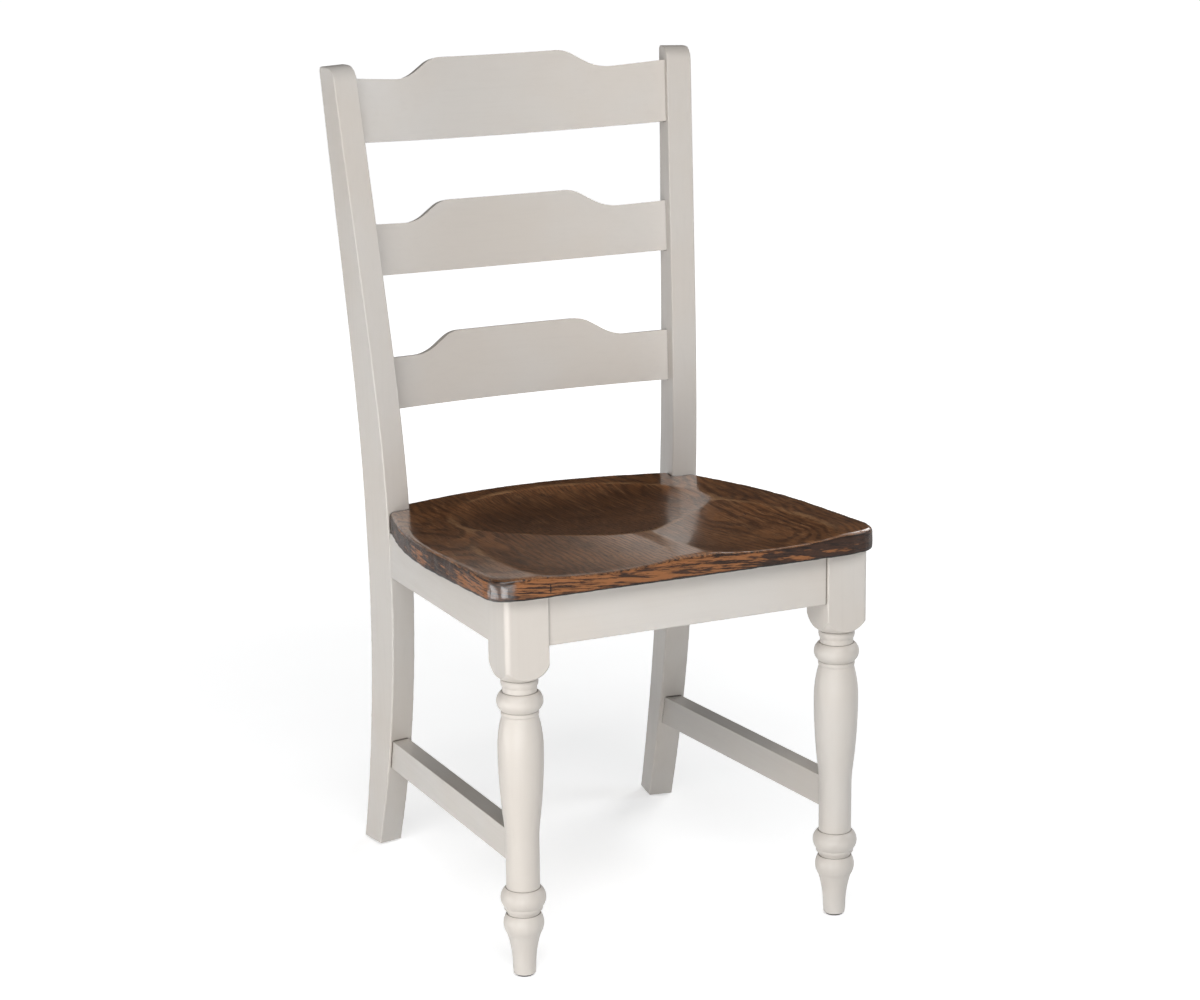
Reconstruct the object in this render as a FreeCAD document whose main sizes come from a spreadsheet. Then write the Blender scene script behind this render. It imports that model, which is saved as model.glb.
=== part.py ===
import FreeCAD, Part
import math
import os

import Sketcher

# Ladderback side chair: turned front legs, sawn rear posts, three bowed slats, a solid scooped seat.
# Millimetres. The origin is on the floor, midway between the seat's front edge and the rearmost wood.
# +Z is up and the chair faces -Y. Left and right are those of someone who looks at it from the front.

Vector = FreeCAD.Vector
Rotation = FreeCAD.Rotation
Placement = FreeCAD.Placement
X_AXIS = Vector(1, 0, 0)
Y_AXIS = Vector(0, 1, 0)
Z_AXIS = Vector(0, 0, 1)
SIDES = ((-1, "left"), (1, "right"))

doc = FreeCAD.newDocument("ladderback_chair")
sheet = doc.addObject("Spreadsheet::Sheet", "Sizes")


class Term:
    """A size from the sheet, or one worked out from such sizes: its value and its formula."""

    def __init__(self, value, text):
        self.value = value
        self.text = text

    def __add__(self, other):
        other = term(other)
        return Term(self.value + other.value, f"({self.text} + {other.text})")

    def __sub__(self, other):
        other = term(other)
        return Term(self.value - other.value, f"({self.text} - {other.text})")

    def __rsub__(self, other):
        return term(other) - self

    def __mul__(self, other):
        other = term(other)
        return Term(self.value * other.value, f"({self.text} * {other.text})")

    def __truediv__(self, other):
        other = term(other)
        return Term(self.value / other.value, f"({self.text} / {other.text})")

    def __neg__(self):
        return Term(-self.value, f"(0 - {self.text})")

    __radd__ = __add__
    __rmul__ = __mul__


def term(number):
    if isinstance(number, Term):
        return number
    return Term(float(number), f"({float(number)})")


def sine(angle):
    return Term(math.sin(math.radians(angle.value)), f"sin({angle.text})")


def cosine(angle):
    return Term(math.cos(math.radians(angle.value)), f"cos({angle.text})")


def tangent(angle):
    return Term(math.tan(math.radians(angle.value)), f"tan({angle.text})")


def root(square):
    return Term(math.sqrt(square.value), f"sqrt({square.text})")


def rise_of_arc(radius, run):
    """How far an arc leaves its tangent after a run along that tangent."""
    return radius - root(radius * radius - run * run)


def size(name, value, meaning):
    """Writes one driving dimension into the sheet and returns it."""
    row = size.rows = getattr(size, "rows", 0) + 1
    sheet.set(f"A{row}", meaning)
    sheet.set(f"B{row}", str(value))
    sheet.setAlias(f"B{row}", name)
    return Term(float(value), f"Sizes.{name}")


# Plan of the frame
leg_spacing = size("leg_spacing", 388.5, "between the front legs' axes")
leg_block = size("leg_block", 50.5, "square block at the top of a front leg")
post_setback = size("post_setback", 370.0, "from the front legs' axes to the posts' front faces, at the seat")
post_gap = size("post_gap", 342.5, "between the posts' inner faces, at the seat")
post_toe = size("post_toe", 9.2, "degrees that each post is turned to face the middle")
post_splay = size("post_splay", 1.8, "degrees that each post leans outwards")

# Sawn outline of a rear post
post_height = size("post_height", 953.0, "top of the posts above the floor")
post_width = size("post_width", 30.7, "width of a post, side to side")
post_depth = size("post_depth", 54.0, "depth of a post at the seat")
heel_front_start = size("heel_front_start", 395.0, "height where the front edge's sweep to the heel starts")
heel_front_radius = size("heel_front_radius", 1150.0, "radius of the front edge, seat to heel")
heel_rear_start = size("heel_rear_start", 400.0, "height where the rear edge's sweep to the heel starts")
heel_rear_radius = size("heel_rear_radius", 1540.0, "radius of the rear edge, seat to heel")
back_front_start = size("back_front_start", 412.0, "height where the front edge starts to lean back")
back_front_radius = size("back_front_radius", 1250.0, "radius of the front edge just above the seat")
back_front_turn = size("back_front_turn", 5.87, "degrees turned by that radius")
back_front_sweep = size("back_front_sweep", 2800.0, "radius of the front edge behind the lowest slat")
back_front_rake = size("back_front_rake", 8.57, "degrees of rake of the straight front edge")
back_rear_start = size("back_rear_start", 430.0, "height where the rear edge starts to lean back")
back_rear_radius = size("back_rear_radius", 1700.0, "radius of the rear edge just above the seat")
back_rear_turn = size("back_rear_turn", 3.71, "degrees turned by that radius")
back_rear_sweep = size("back_rear_sweep", 3600.0, "radius of the rear edge behind the lowest slat")
back_rear_rake = size("back_rear_rake", 5.96, "degrees of rake of the straight rear edge")
post_top_front_radius = size("post_top_front_radius", 18.0, "rounding of the top of a post, front")
post_top_rear_radius = size("post_top_rear_radius", 5.0, "rounding of the top of a post, rear")
frame_easing = size("frame_easing", 1.6, "rounding of the frame's long edges")

# Seat and the rails under it
seat_under = size("seat_under", 434.4, "underside of the seat above the floor, at the front legs' axes")
seat_slope = size("seat_slope", 3.26, "degrees that the seat slopes down to the back")
seat_thickness = size("seat_thickness", 25.4, "thickness of the seat")
seat_width = size("seat_width", 473.0, "widest width of the seat")
seat_front_overhang = size("seat_front_overhang", 12.8, "seat beyond the leg blocks, front")
seat_corner_radius = size("seat_corner_radius", 32.0, "front corners of the seat, seen from above")
seat_side_straight = size("seat_side_straight", 130.0, "length of straight side behind the leg axes")
seat_side_radius = size("seat_side_radius", 760.0, "radius of the seat's sides, seen from above")
seat_heel_reach = size("seat_heel_reach", 371.0, "from the leg axes to the end of the sides, at the posts")
seat_heel_radius = size("seat_heel_radius", 12.0, "corner of the seat at a post, seen from above")
seat_rear_reach = size("seat_rear_reach", 434.3, "from the leg axes to the middle of the seat's rear edge")
seat_rear_radius = size("seat_rear_radius", 430.0, "radius of the seat's rear edge, seen from above")
seat_top_easing = size("seat_top_easing", 5.0, "rounding of the seat's top edge")
seat_under_easing = size("seat_under_easing", 3.0, "rounding of the seat's lower edge")
seat_notch_gap = size("seat_notch_gap", 0.2, "gap between the seat's notch and a post")
bowl_centre = size("bowl_centre", 251.0, "middle of the seat's bowl behind the leg axes")
bowl_half_width = size("bowl_half_width", 157.0, "half the width of the bowl's rim")
bowl_half_length = size("bowl_half_length", 150.0, "half the length of the bowl's rim")
bowl_depth = size("bowl_depth", 10.0, "depth of the bowl")
bowl_rise = size("bowl_rise", 6.0, "height of the bowl cutter's centre above the seat")
thigh_offset = size("thigh_offset", 102.0, "from the middle to each thigh hollow")
thigh_centre = size("thigh_centre", 60.0, "middle of the thigh hollows behind the leg axes")
thigh_half_width = size("thigh_half_width", 92.0, "half the width of a thigh hollow")
thigh_half_length = size("thigh_half_length", 190.0, "half the length of a thigh hollow")
thigh_depth = size("thigh_depth", 7.0, "depth of a thigh hollow")
thigh_rise = size("thigh_rise", 8.0, "height of the thigh cutters' centres above the seat")

rail_height = size("rail_height", 57.0, "height of the front and rear rails")
side_rail_height = size("side_rail_height", 54.5, "height of the side rails")
rail_thickness = size("rail_thickness", 20.0, "thickness of the seat rails")
front_rail_setback = size("front_rail_setback", 4.0, "front rail behind the face of the leg blocks")
side_rail_setback = size("side_rail_setback", 1.0, "side rails inside the outer faces of legs and posts")
rear_rail_setback = size("rear_rail_setback", 18.0, "rear rail behind the posts' front faces")
tenon_thickness = size("tenon_thickness", 9.5, "thickness of the rails' tenons")
tenon_shoulder = size("tenon_shoulder", 8.0, "shoulder above and below each rail tenon")
tenon_length = size("tenon_length", 19.0, "length of the rails' tenons")
post_tenon_length = size("post_tenon_length", 15.0, "length of a tenon in a post's side")
glue_gap = size("glue_gap", 0.1, "glue gap round every tenon")

# Side stretchers
stretcher_height = size("stretcher_height", 36.5, "height of a side stretcher")
stretcher_thickness = size("stretcher_thickness", 21.0, "thickness of a side stretcher")
stretcher_front_top = size("stretcher_front_top", 164.0, "top of a stretcher at the leg axis above the floor")
stretcher_slope = size("stretcher_slope", 2.6, "degrees that a stretcher slopes down to the back")
stretcher_tenon_thickness = size("stretcher_tenon_thickness", 10.0, "thickness of a stretcher's tenons")
stretcher_tenon_height = size("stretcher_tenon_height", 24.0, "height of a stretcher's tenons")
stretcher_leg_stop = size("stretcher_leg_stop", 4.0, "from a leg's axis to the end of the tenon in it")
stretcher_post_inset = size("stretcher_post_inset", 3.6, "stretcher inside the outer face of a post")

# Bowed slats
slat_thickness = size("slat_thickness", 13.0, "thickness of a slat")
slat_bend_radius = size("slat_bend_radius", 450.0, "radius of a slat's hollow front face")
slat_tenon_thickness = size("slat_tenon_thickness", 8.0, "thickness of a slat's tenons")
slat_tenon_shoulder = size("slat_tenon_shoulder", 6.0, "shoulder above and below a slat's tenons")
crest_half_width = size("crest_half_width", 74.0, "half the width of a slat's raised middle")
ogee_rise = size("ogee_rise", 24.0, "how far the raised middle stands above the shoulders")
ogee_angle = size("ogee_angle", 33.0, "degrees of the ogee at its steepest")
crest_radius = size("crest_radius", 38.0, "upper curve of the ogee")
shoulder_radius = size("shoulder_radius", 54.0, "lower curve of the ogee")

SLATS = {
    "top": {
        "low": size("top_slat_low", 864.5, "lower edge of the top slat above the floor"),
        "shoulder": size("top_slat_shoulder", 71.5, "height of the top slat beside the ogee"),
        "flare": size("top_slat_flare", 2.7, "extra height of the top slat at the posts"),
        "recess": size("top_slat_recess", 8.2, "top slat behind the posts' front faces"),
        "rake": size("top_slat_rake", 10.9, "degrees of rake of the top slat"),
    },
    "middle": {
        "low": size("middle_slat_low", 710.0, "lower edge of the middle slat above the floor"),
        "shoulder": size("middle_slat_shoulder", 59.4, "height of the middle slat beside the ogee"),
        "flare": size("middle_slat_flare", 0.8, "extra height of the middle slat at the posts"),
        "recess": size("middle_slat_recess", 16.2, "middle slat behind the posts' front faces"),
        "rake": size("middle_slat_rake", 11.5, "degrees of rake of the middle slat"),
    },
    "bottom": {
        "low": size("bottom_slat_low", 553.5, "lower edge of the bottom slat above the floor"),
        "shoulder": size("bottom_slat_shoulder", 60.2, "height of the bottom slat beside the ogee"),
        "flare": size("bottom_slat_flare", 0.6, "extra height of the bottom slat at the posts"),
        "recess": size("bottom_slat_recess", 18.7, "bottom slat behind the posts' front faces"),
        "rake": size("bottom_slat_rake", 9.7, "degrees of rake of the bottom slat"),
    },
}

# Turned front legs: heights above the floor and radii, from the block down
block_foot = size("block_foot", 342.5, "lower end of the square block")
pommel_height = size("pommel_height", 26.0, "height over which the block is turned round")
pommel_curve = size("pommel_curve", 31.0, "curve of the turned end of the block")
block_easing = size("block_easing", 6.0, "rounding of the outer front corner of a block")
pommel_radius = size("pommel_radius", 22.0, "radius of the turned end of the block")
collar_radius = size("collar_radius", 19.4, "collar under the block")
collar_bulge = size("collar_bulge", 10.0, "curve of the collar")
collar_foot = size("collar_foot", 333.0, "lower edge of the collar")
neck_radius = size("neck_radius", 18.9, "neck between collar and bead")
neck_foot = size("neck_foot", 326.5, "lower edge of the neck")
bead_edge_radius = size("bead_edge_radius", 20.2, "edges of the large bead")
bead_curve = size("bead_curve", 13.0, "curve of the large bead")
bead_foot = size("bead_foot", 305.5, "lower edge of the large bead")
ring_radius = size("ring_radius", 20.0, "ring under the large bead")
ring_curve = size("ring_curve", 4.6, "curve of the ring")
ring_foot = size("ring_foot", 300.0, "lower edge of the ring")
vase_neck_radius = size("vase_neck_radius", 19.9, "top of the vase")
vase_shoulder_curve = size("vase_shoulder_curve", 140.0, "curve of the vase's shoulder")
vase_radius = size("vase_radius", 25.15, "widest part of the vase")
vase_shoulder = size("vase_shoulder", 262.0, "height of the widest part of the vase")
vase_curve = size("vase_curve", 680.0, "long curve of the vase's body")
ankle_curve = size("ankle_curve", 180.0, "hollow curve from the vase to the ankle")
vase_waist = size("vase_waist", 178.0, "height where the vase's curve turns hollow")
ankle_top = size("ankle_top", 156.0, "upper end of the straight ankle")
ankle_radius = size("ankle_radius", 18.6, "radius of the straight ankle")
ankle_foot = size("ankle_foot", 102.0, "lower end of the straight ankle")
foot_bead_edge = size("foot_bead_edge", 19.8, "edges of the ankle bead")
foot_bead_curve = size("foot_bead_curve", 15.0, "curve of the ankle bead")
foot_bead_foot = size("foot_bead_foot", 80.5, "lower edge of the ankle bead")
fillet_radius = size("fillet_radius", 21.4, "square fillet under the ankle bead")
fillet_foot = size("fillet_foot", 77.5, "lower edge of the square fillet")
foot_neck_radius = size("foot_neck_radius", 18.1, "neck over the foot")
foot_neck_foot = size("foot_neck_foot", 72.0, "lower edge of the neck over the foot")
foot_bulb_edge = size("foot_bulb_edge", 19.2, "upper edge of the foot's bulb")
foot_bulb_curve = size("foot_bulb_curve", 21.4, "curve of the foot's bulb")
foot_bulb_foot = size("foot_bulb_foot", 49.0, "height where the bulb turns into the peg")
foot_peg_top_radius = size("foot_peg_top_radius", 18.9, "top of the peg foot")
foot_peg_curve = size("foot_peg_curve", 128.0, "hollow curve of the peg foot")
foot_peg_straight = size("foot_peg_straight", 9.0, "height where the hollow curve ends")
foot_peg_radius = size("foot_peg_radius", 12.9, "peg foot where the hollow curve ends")
foot_radius = size("foot_radius", 12.4, "sole of a front foot")

# Glides, corner blocks and screws
glide_height = size("glide_height", 2.5, "glide under each foot")
glide_radius = size("glide_radius", 10.5, "radius of a glide")
glide_edge = size("glide_edge", 1.0, "rounding of a glide's edge")
nail_radius = size("nail_radius", 1.4, "radius of a glide's nail")
nail_length = size("nail_length", 16.0, "length of a glide's nail")
corner_length = size("corner_length", 90.0, "half the length that a corner block is sawn from")
corner_thickness = size("corner_thickness", 24.0, "thickness of a corner block")
corner_height = size("corner_height", 38.0, "height of a corner block")
corner_clear = size("corner_clear", 6.0, "gap between a corner block and its leg or post")
screw_radius = size("screw_radius", 2.1, "radius of the screws' shanks")
screw_head_radius = size("screw_head_radius", 4.2, "radius of the screws' heads")
screw_head_height = size("screw_head_height", 2.6, "height of the screws' heads")
screw_point = size("screw_point", 4.0, "length of the screws' points")
screw_gap = size("screw_gap", 0.1, "gap round the screws' shanks and nails")
screw_head_gap = size("screw_head_gap", 0.8, "gap round the screws' heads")
screw_shelf = size("screw_shelf", 9.0, "wood between a rail and the head of its screw")
screw_grip = size("screw_grip", 12.0, "how far a corner block's screw enters a rail")
seat_screw_shelf = size("seat_screw_shelf", 18.0, "wood between the seat and the head of its screw")
seat_screw_grip = size("seat_screw_grip", 9.0, "how far a seat screw enters the seat")
bore_depth = size("bore_depth", 45.0, "length of the bore that lets a screw's head in")

doc.recompute()

# Places worked out from the sizes above
leg_x = leg_spacing / 2
front_reach = leg_block / 2 + seat_front_overhang
heel_back = post_depth + rise_of_arc(heel_rear_radius, heel_rear_start - glide_height)
post_foot_x = post_gap / 2 - back_front_start * tangent(post_splay)
post_outer_x = post_gap / 2 + post_width * cosine(post_toe)
post_outer_reach = post_setback - post_width * sine(post_toe)
OVERSHOOT = 8.0


def post_edge(start, radius, turn, sweep, rake, base):
    """Corners of a post's edge above the seat: two arcs, then a straight run to the top."""
    sweep_start = start + radius * sine(turn)
    sweep_in = base + radius * (1 - cosine(turn))
    rake_start = sweep_start + sweep * (sine(rake) - sine(turn))
    rake_in = sweep_in + sweep * (cosine(turn) - cosine(rake))
    top_in = rake_in + (post_height - rake_start) * tangent(rake)
    return sweep_in, sweep_start, rake_in, rake_start, top_in


FRONT_EDGE = post_edge(
    back_front_start, back_front_radius, back_front_turn, back_front_sweep, back_front_rake, term(0)
)
REAR_EDGE = post_edge(
    back_rear_start, back_rear_radius, back_rear_turn, back_rear_sweep, back_rear_rake, post_depth
)


def post_front_at(height):
    """How far a post's front edge stands back at a height above the seat."""
    sweep_in, sweep_start, rake_in, rake_start, _ = FRONT_EDGE
    if height.value >= rake_start.value:
        return rake_in + (height - rake_start) * tangent(back_front_rake)
    if height.value >= sweep_start.value:
        run = height - sweep_start + back_front_sweep * sine(back_front_turn)
        lean = root(back_front_sweep * back_front_sweep - run * run)
        return sweep_in + back_front_sweep * cosine(back_front_turn) - lean
    return rise_of_arc(back_front_radius, height - back_front_start)


def slat_end(slat):
    """Where a slat's front face meets the posts: its distance behind their fronts, and its x."""
    back = post_front_at(slat["low"]) + slat["recess"]
    end_x = post_gap / 2 + tangent(post_splay) * (slat["low"] - back_front_start) + back * sine(post_toe)
    return back, end_x


def rear_reach():
    """How far the chair reaches behind the front legs' axes: to its heels or the top slat's crest."""
    slat = SLATS["top"]
    back, end_x = slat_end(slat)
    bow = rise_of_arc(slat_bend_radius, end_x)
    height = slat["shoulder"] + ogee_rise
    crest = (bow + slat_thickness) * cosine(slat["rake"]) + height * sine(slat["rake"])
    at_heel = post_setback + heel_back * cosine(post_toe)
    at_crest = post_setback + back * cosine(post_toe) + crest
    return max(at_heel, at_crest, key=lambda reach: reach.value)


front_y = (front_reach - rear_reach()) / 2
post_y = front_y + post_setback


def under_seat(reach):
    """Height of the seat's underside at a distance behind the front legs' axes."""
    return seat_under - tangent(seat_slope) * reach


seat_frame = Placement(
    Vector(0, front_y.value, seat_under.value), Rotation(X_AXIS, -seat_slope.value)
)


def post_frame(side):
    """A post's own frame: X to its outside, Y to its rear, Z up its length, from its inner front edge."""
    turn = Rotation(Y_AXIS, side * post_splay.value) * Rotation(Z_AXIS, -side * post_toe.value)
    return Placement(Vector(side * post_foot_x.value, post_y.value, 0), turn)


# Helpers that draw and combine

def bind(made, name, amount):
    amount = term(amount)
    setattr(made, name, amount.value)
    made.setExpression(name, amount.text)


def bind_constraint(sketch, kind, geometry, amount, *where):
    amount = term(amount)
    row = sketch.addConstraint(Sketcher.Constraint(kind, geometry, *where, amount.value))
    sketch.setExpression(f"Constraints[{row}]", amount.text)


def sketch_on(body, name, role):
    """A new sketch on one of the body's own origin planes."""
    sketch = body.newObject("Sketcher::SketchObject", name)
    plane = next(each for each in body.Origin.OriginFeatures if each.Role == role)
    sketch.AttachmentSupport = [(plane, "")]
    sketch.MapMode = "FlatFace"
    return sketch


def arc_between(start, end, radius, turn):
    """The short arc from start to end: turn 1 runs anticlockwise, -1 clockwise."""
    chord = end - start
    half = chord.Length / 2
    across = Vector(-chord.y, chord.x, 0).normalize()
    middle = (start + end) / 2
    centre = middle + across * (turn * math.sqrt(max(radius * radius - half * half, 0.0)))
    first, last = (start, end) if turn > 0 else (end, start)
    angles = [math.atan2(each.y - centre.y, each.x - centre.x) for each in (first, last)]
    return Part.ArcOfCircle(Part.Circle(centre, Z_AXIS, radius), *angles)


def draw(sketch, corners):
    """Draws a closed outline. Each corner is (x, y), or (x, y, radius, turn) to leave it along an arc."""
    count = len(corners)
    points = [Vector(term(each[0]).value, term(each[1]).value, 0) for each in corners]
    for row, corner in enumerate(corners):
        start, end = points[row], points[(row + 1) % count]
        if len(corner) == 2:
            sketch.addGeometry(Part.LineSegment(start, end), False)
        else:
            sketch.addGeometry(arc_between(start, end, corner[2].value, corner[3]), False)
    for row, corner in enumerate(corners):
        backward = len(corner) > 2 and corner[3] < 0
        after = (row + 1) % count
        after_backward = len(corners[after]) > 2 and corners[after][3] < 0
        leaving = 1 if backward else 2
        entering = 2 if after_backward else 1
        sketch.addConstraint(Sketcher.Constraint("Coincident", row, leaving, after, entering))
        if len(corner) > 2:
            bind_constraint(sketch, "Radius", row, corner[2])
        first = 2 if backward else 1
        bind_constraint(sketch, "DistanceX", row, corner[0], first)
        bind_constraint(sketch, "DistanceY", row, corner[1], first)


def rounded(name, base, radius, wanted):
    """Rounds the edges of a finished solid for which wanted(edge) is true."""
    doc.recompute()
    made = doc.addObject("Part::Fillet", name)
    made.Base = base
    rows = [row for row, edge in enumerate(base.Shape.Edges, 1) if wanted(edge)]
    made.Edges = [(row, radius.value, radius.value) for row in rows]
    return made


def pad(body, sketch, length, kind="One side", backward=False):
    made = body.newObject("PartDesign::Pad", "Pad")
    made.Profile = sketch
    made.SideType = kind
    made.Reversed = backward
    bind(made, "Length", length)
    return made


def turned(body, sketch, kind):
    """A full turn of the sketch about its own upright axis."""
    made = body.newObject(f"PartDesign::{kind}", kind)
    made.Profile = sketch
    made.ReferenceAxis = (sketch, ["V_Axis"])
    made.Angle = 360.0
    return made


def eased(body, base, radius, wanted, kind="Fillet"):
    """Rounds or chamfers the edges of a feature for which wanted(edge) is true."""
    doc.recompute()
    names = [f"Edge{row}" for row, edge in enumerate(base.Shape.Edges, 1) if wanted(edge)]
    made = body.newObject(f"PartDesign::{kind}", kind)
    made.Base = (base, names)
    bind(made, "Radius" if kind == "Fillet" else "Size", radius)
    return made


def block(name, lows, highs, frame=Placement()):
    """A box between two corners of a frame."""
    made = doc.addObject("Part::Box", name)
    for key, low, high in zip(("Length", "Width", "Height"), lows, highs):
        bind(made, key, term(high) - low)
    made.Placement = frame * Placement(Vector(*[term(each).value for each in lows]), Rotation())
    return made


def rod(name, radius, length, start, direction, frame=Placement()):
    """A round bar from a point of a frame, along a direction."""
    made = doc.addObject("Part::Cylinder", name)
    bind(made, "Radius", radius)
    bind(made, "Height", length)
    made.Placement = frame * Placement(Vector(*start), Rotation(Z_AXIS, Vector(*direction)))
    return made


def cut(name, base, *tools):
    """The base without its tools, one cut after another."""
    for row, tool in enumerate(tools):
        made = doc.addObject("Part::Cut", name if row == len(tools) - 1 else f"{name}_stage")
        made.Base = base
        made.Tool = tool
        base = made
    return base


def fuse(name, *shapes):
    made = doc.addObject("Part::MultiFuse", name)
    made.Shapes = list(shapes)
    made.Refine = True
    return made


def common(name, base, tool):
    made = doc.addObject("Part::Common", name)
    made.Base = base
    made.Tool = tool
    return made


def group(name, shapes):
    """Separate solids kept side by side under one name."""
    made = doc.addObject("Part::Compound", name)
    made.Links = list(shapes)
    return made


def spread(side, near, far):
    """Low and high x of a span that runs outwards from near to far on one side."""
    return (near, far) if side > 0 else (-far, -near)


nodes = {}


# Rear posts

def sawn_post(side, hand):
    """A post without its mortises: the sawn outline, rounded at the top and level at the foot."""
    body = doc.addObject("PartDesign::Body", f"post_blank_{hand}")
    outline = sketch_on(body, "PostOutline", "YZ_Plane")
    front, rear = FRONT_EDGE, REAR_EDGE
    below = term(-OVERSHOOT)
    draw(outline, [
        (rise_of_arc(heel_front_radius, heel_front_start - below), below),
        (post_depth + rise_of_arc(heel_rear_radius, heel_rear_start - below), below, heel_rear_radius, -1),
        (post_depth, heel_rear_start),
        (post_depth, back_rear_start, back_rear_radius, -1),
        (rear[0], rear[1], back_rear_sweep, -1),
        (rear[2], rear[3]),
        (rear[4], post_height),
        (front[4], post_height),
        (front[2], front[3], back_front_sweep, 1),
        (front[0], front[1], back_front_radius, 1),
        (term(0), back_front_start),
        (term(0), heel_front_start, heel_front_radius, 1),
    ])
    plank = pad(body, outline, post_width, backward=side < 0)

    def top_corner(reach):
        def wanted(edge):
            middle = edge.CenterOfMass
            near = abs(middle.y - reach.value) < 0.01 and abs(middle.z - post_height.value) < 0.01
            return near and abs(edge.BoundBox.XLength - post_width.value) < 0.01
        return wanted

    top = eased(body, plank, post_top_front_radius, top_corner(front[4]))
    body.Tip = eased(body, top, post_top_rear_radius, top_corner(rear[4]))
    body.Placement = post_frame(side)
    floor_cut = block(f"floor_cut_{hand}", (-400, -400, -50), (400, 400, glide_height))
    sawn = cut(f"post_sawn_{hand}", body, floor_cut)
    flat = post_frame(side).Rotation.multVec(X_AXIS)

    def on_a_side(edge):
        """The edges round both sawn sides of the plank."""
        offsets = [(vertex.Point - body.Placement.Base).dot(flat) for vertex in edge.Vertexes]
        return max(offsets) - min(offsets) < 0.01

    return rounded(f"post_{hand}", sawn, frame_easing, on_a_side)


# Turned front legs

def turned_leg(side, hand):
    """A front leg without its mortises: the square block, its turned pommel and the turning below."""
    body = doc.addObject("PartDesign::Body", f"leg_blank_{hand}")
    half = leg_block / 2
    side_view = sketch_on(body, "BlockSide", "YZ_Plane")
    draw(side_view, [
        (-half, block_foot),
        (half, block_foot),
        (half, under_seat(half)),
        (-half, under_seat(-half)),
    ])
    square = pad(body, side_view, leg_block, kind="Symmetric")

    def upright(edge):
        return edge.BoundBox.ZLength > rail_height.value

    def outer_front(edge):
        return edge.CenterOfMass.x * side > 0 and edge.CenterOfMass.y < 0

    softened = eased(body, square, block_easing, lambda edge: upright(edge) and outer_front(edge))
    eased(body, softened, frame_easing, lambda edge: upright(edge) and not outer_front(edge))

    waste = sketch_on(body, "PommelWaste", "XZ_Plane")
    corner = half * math.sqrt(2.0) + 1
    draw(waste, [
        (pommel_radius, block_foot - 1),
        (corner, block_foot - 1),
        (corner, block_foot + pommel_height, pommel_curve, -1),
        (pommel_radius, block_foot),
    ])
    turned(body, waste, "Groove")

    profile = sketch_on(body, "Turning", "XZ_Plane")
    sole = glide_height
    draw(profile, [
        (term(0), sole),
        (foot_radius, sole),
        (foot_peg_radius, foot_peg_straight, foot_peg_curve, -1),
        (foot_peg_top_radius, foot_bulb_foot, foot_bulb_curve, 1),
        (foot_bulb_edge, foot_neck_foot),
        (foot_neck_radius, foot_neck_foot),
        (foot_neck_radius, fillet_foot),
        (fillet_radius, fillet_foot),
        (fillet_radius, foot_bead_foot, foot_bead_curve, 1),
        (foot_bead_edge, ankle_foot),
        (ankle_radius, ankle_foot),
        (ankle_radius, ankle_top, ankle_curve, -1),
        (vase_radius - rise_of_arc(vase_curve, vase_shoulder - vase_waist), vase_waist, vase_curve, 1),
        (vase_radius, vase_shoulder, vase_shoulder_curve, 1),
        (vase_neck_radius, ring_foot),
        (ring_radius, ring_foot, ring_curve, 1),
        (ring_radius, bead_foot),
        (bead_edge_radius, bead_foot, bead_curve, 1),
        (bead_edge_radius, neck_foot),
        (neck_radius, neck_foot),
        (neck_radius, collar_foot),
        (collar_radius, collar_foot, collar_bulge, 1),
        (collar_radius, block_foot),
        (collar_radius, block_foot + 1),
        (term(0), block_foot + 1),
    ])
    body.Tip = turned(body, profile, "Revolution")
    body.Placement = Placement(Vector(side * leg_x.value, front_y.value, 0), Rotation())
    return body


posts = {side: sawn_post(side, hand) for side, hand in SIDES}
legs = {side: turned_leg(side, hand) for side, hand in SIDES}
leg_cuts = {side: [] for side, _ in SIDES}
post_cuts = {side: [] for side, _ in SIDES}


# Rails

def tenon_pair(name, lows, highs, frame=Placement()):
    """A tenon bar and the mortise tool that leaves the glue gap round it."""
    bar = block(f"{name}_tenon", lows, highs, frame)
    wider_lows = [term(each) - glue_gap for each in lows]
    wider_highs = [term(each) + glue_gap for each in highs]
    return bar, block(f"{name}_mortise", wider_lows, wider_highs, frame)


def cross_rail(name, near, end, tenon_end):
    """A rail that runs across the chair, out to end on both sides, and the bar of its tenons."""
    body = doc.addObject("PartDesign::Body", f"{name}_body")
    section = sketch_on(body, "RailSection", "YZ_Plane")
    far = near + rail_thickness
    foot = under_seat(near) - rail_height
    draw(section, [
        (near, foot),
        (far, foot),
        (far, under_seat(far)),
        (near, under_seat(near)),
    ])
    stock = pad(body, section, end * 2, kind="Symmetric")
    body.Tip = eased(body, stock, frame_easing, lambda edge: edge.BoundBox.XLength > end.value
                     and abs(edge.CenterOfMass.z - foot.value) < 0.01)
    body.Placement = Placement(Vector(0, front_y.value, 0), Rotation())
    cheek = front_y + near + (rail_thickness - tenon_thickness) / 2
    lows = (-tenon_end, cheek, foot + tenon_shoulder)
    highs = (tenon_end, cheek + tenon_thickness, under_seat(far) - tenon_shoulder)
    bar, mortise = tenon_pair(name, lows, highs)
    return body, bar, mortise


def long_stock(name, inner, outer, height, start, length, frame):
    """A bar along a frame's Y from start, hanging below its XY plane, with its lower edges eased."""
    body = doc.addObject("PartDesign::Body", name)
    section = sketch_on(body, "BarSection", "XZ_Plane")
    draw(section, [
        (inner, -height),
        (outer, -height),
        (outer, term(0)),
        (inner, term(0)),
    ])
    bar = pad(body, section, length, backward=True)
    body.Tip = eased(body, bar, frame_easing, lambda edge: edge.BoundBox.YLength > frame_easing.value
                     and edge.CenterOfMass.z < -height.value / 2)
    body.Placement = frame * Placement(Vector(0, start.value, 0), Rotation())
    return body


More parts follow.
